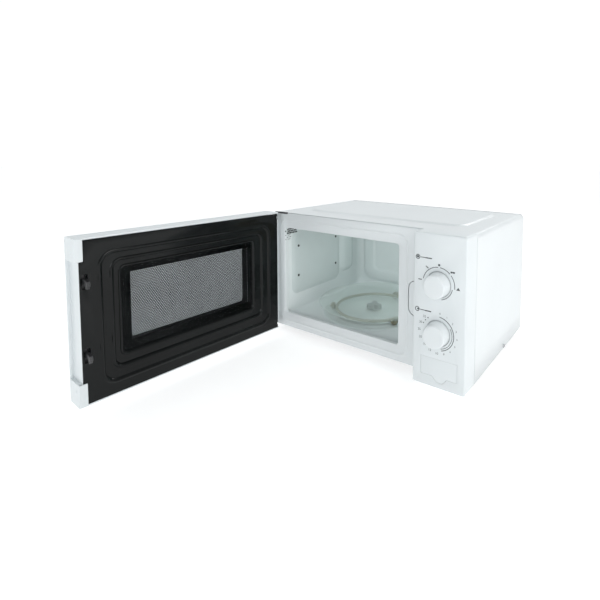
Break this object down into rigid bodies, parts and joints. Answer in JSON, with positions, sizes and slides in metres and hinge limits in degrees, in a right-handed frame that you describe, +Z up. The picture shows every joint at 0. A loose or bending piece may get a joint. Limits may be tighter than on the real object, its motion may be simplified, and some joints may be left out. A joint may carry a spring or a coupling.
{
  "type": "microwave oven",
  "caption": "Compact countertop microwave oven with a side-hinged door, glass turntable, two dial knobs and a push-button door release.",
  "frame": {"origin": "centre of the base plate's underside; the feet reach 12 mm below it", "axes": "+Z up, -Y towards the user, +X to the user's right as they face the oven"},
  "size_m": [0.4687, 0.6315, 0.252],
  "materials": {
    "white_paint": "glossy white powder paint with a fine orange-peel texture",
    "white_plastic": "smooth white moulded plastic with a soft gloss",
    "cavity_enamel": "pale grey-green stain-resistant cavity paint, satin",
    "black_gloss": "glossy black moulded plastic",
    "black_plastic": "black moulded plastic, fine matt",
    "clear_glass": "clear toughened glass with a faint green tint",
    "clear_film": "clear thin polyester film",
    "zinc_steel": "bright zinc-plated sheet steel",
    "aluminium": "plain drawn aluminium",
    "copper_winding": "lacquered copper wire winding",
    "black_rubber": "matt black rubber",
    "roller_brown": "warm olive-brown heat-resistant plastic",
    "phenolic_brown": "dark brown phenolic resin",
    "mica": "pressed mica sheet with a pearly speckle",
    "circuit_board": "green lacquered circuit board"
  },
  "bodies": {
    "cabinet": {"outer_cabinet": "white_paint", "base_plate": "zinc_steel", "rear_panel": "zinc_steel", "front_plate": "white_paint", "cavity_floor": "cavity_enamel", "cavity_ceiling": "cavity_enamel", "cavity_left_wall": "cavity_enamel", "cavity_right_wall": "cavity_enamel", "cavity_rear_wall": "cavity_enamel", "waveguide_cover": "mica", "foot_front_left": "black_rubber", "foot_front_right": "black_rubber", "foot_rear_left": "black_rubber", "foot_rear_right": "black_rubber", "waveguide": "zinc_steel", "magnetron": "zinc_steel", "thermal_cutout": "phenolic_brown", "transformer_core": "zinc_steel", "transformer_winding": "copper_winding", "capacitor": "aluminium", "high_voltage_diode": "black_plastic", "capacitor_clamp": "zinc_steel", "fan_housing": "black_plastic", "fan_motor": "zinc_steel", "lamp_socket": "phenolic_brown", "lamp_bulb": "clear_glass", "noise_filter_board": "circuit_board", "cord_gland": "black_rubber", "turntable_motor": "zinc_steel", "control_panel": "white_plastic", "power_selector": "zinc_steel", "timer_unit": "zinc_steel", "interlock_bracket": "black_plastic", "door_switch_top": "black_plastic", "door_switch_middle": "black_plastic", "door_switch_bottom": "black_plastic", "lever_pivot": "zinc_steel", "hinge_upper": "zinc_steel", "hinge_lower": "zinc_steel"},
    "door": {"door_frame": "white_plastic", "door_outer_window": "black_gloss", "door_choke_cover": "black_gloss", "door_metal_frame": "zinc_steel", "door_screen": "black_plastic", "door_inner_film": "clear_film"},
    "latch": {"latch_hooks": "black_plastic"},
    "coupler": {"turntable_coupler": "black_plastic"},
    "plate": {"glass_turntable": "clear_glass"},
    "ring": {"roller_ring": "roller_brown"},
    "wheel_1": {"roller_wheel_1": "roller_brown"},
    "wheel_2": {"roller_wheel_2": "roller_brown"},
    "wheel_3": {"roller_wheel_3": "roller_brown"},
    "fan": {"fan_blade": "black_plastic"},
    "power_knob": {"power_knob": "white_plastic"},
    "timer_knob": {"timer_knob": "white_plastic"},
    "release_button": {"door_release_button": "white_plastic"},
    "release_lever": {"release_lever": "black_plastic"}
  },
  "joints": [
    {"name": "door_hinge", "type": "hinge", "parent": "cabinet", "child": "door", "pos_m": [-0.212, -0.1355, 0.12], "axis": [0, 0, -1], "range_deg": [-93.3, 12]},
    {"name": "latch_lift", "type": "slide", "parent": "door", "child": "latch", "axis": [0, 0, 1], "range_m": [0, 0.004], "stiffness_N_per_m": 300},
    {"name": "turntable_spin", "type": "hinge", "parent": "cabinet", "child": "coupler", "pos_m": [-0.048, 0.006, 0.03], "axis": [0, 0, 1], "continuous": true},
    {"name": "plate_lift", "type": "slide", "parent": "coupler", "child": "plate", "axis": [0, 0, 1], "range_m": [0, 0.08]},
    {"name": "ring_roll", "type": "hinge", "parent": "cabinet", "child": "ring", "pos_m": [-0.048, 0.006, 0.0343], "axis": [0, 0, 1], "continuous": true},
    {"name": "wheel_1_roll", "type": "hinge", "parent": "ring", "child": "wheel_1", "pos_m": [-0.048, 0.094, 0.0343], "axis": [0, 1, 0], "continuous": true},
    {"name": "wheel_2_roll", "type": "hinge", "parent": "ring", "child": "wheel_2", "pos_m": [-0.12421, -0.038, 0.0343], "axis": [-0.866, -0.5, 0], "continuous": true},
    {"name": "wheel_3_roll", "type": "hinge", "parent": "ring", "child": "wheel_3", "pos_m": [0.02821, -0.038, 0.0343], "axis": [0.866, -0.5, 0], "continuous": true},
    {"name": "fan_spin", "type": "hinge", "parent": "cabinet", "child": "fan", "pos_m": [0.15, 0.127, 0.1], "axis": [0, 1, 0], "continuous": true},
    {"name": "power_knob_turn", "type": "hinge", "parent": "cabinet", "child": "power_knob", "pos_m": [0.175, -0.1575, 0.1628], "axis": [0, 1, 0], "range_deg": [0, 180]},
    {"name": "timer_knob_turn", "type": "hinge", "parent": "cabinet", "child": "timer_knob", "pos_m": [0.175, -0.1575, 0.087], "axis": [0, 1, 0], "range_deg": [0, 325]},
    {"name": "button_press", "type": "slide", "parent": "cabinet", "child": "release_button", "axis": [0, 1, 0], "range_m": [0, 0.005], "stiffness_N_per_m": 400},
    {"name": "lever_turn", "type": "hinge", "parent": "cabinet", "child": "release_lever", "pos_m": [0.1535, -0.1028, 0.06], "axis": [1, 0, 0], "range_deg": [0, 12]}
  ],
  "couplings": [
    {"joint": "ring_roll", "follows": "turntable_spin", "ratio": 0.5},
    {"joint": "wheel_1_roll", "follows": "turntable_spin", "ratio": -6.2857},
    {"joint": "wheel_2_roll", "follows": "turntable_spin", "ratio": -6.2857},
    {"joint": "wheel_3_roll", "follows": "turntable_spin", "ratio": -6.2857},
    {"joint": "lever_turn", "follows": "button_press", "rad_per_m": 40}
  ]
}
